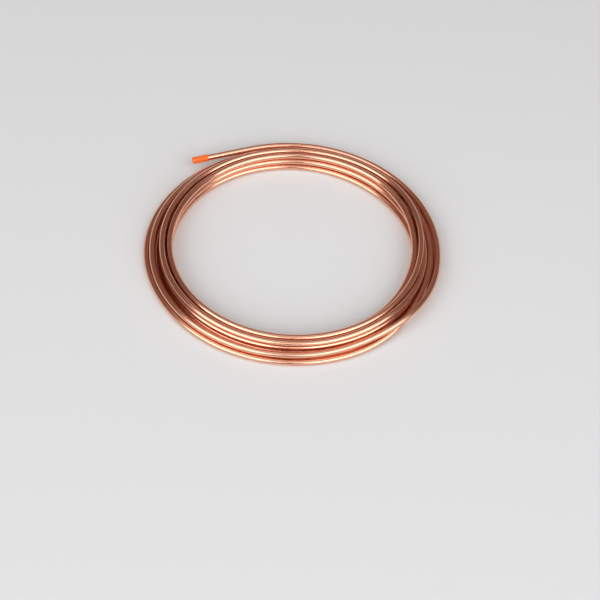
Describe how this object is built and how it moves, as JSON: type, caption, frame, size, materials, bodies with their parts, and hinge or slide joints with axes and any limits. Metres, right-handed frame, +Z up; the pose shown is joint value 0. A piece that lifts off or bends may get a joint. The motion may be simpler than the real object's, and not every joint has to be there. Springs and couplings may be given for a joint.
{
  "type": "coil of soft copper tube",
  "caption": "Flat coil of bright soft copper tube lying on the floor, its turns in loose rows around a wide open eye, an orange push-on cap on each tube end.",
  "frame": {"origin": "on the floor, at the axis of the coil", "axes": "+Z up along the coil axis, +Y to the side where the outer tail leaves, -Y to the viewer of the picture"},
  "size_m": [0.45, 0.4499, 0.0296],
  "materials": {
    "copper": null,
    "cap_plastic": "orange soft plastic, smooth"
  },
  "bodies": {
    "root": {"copper_tube": "copper", "outer_end_cap": "cap_plastic", "inner_end_cap": "cap_plastic"}
  },
  "joints": []
}
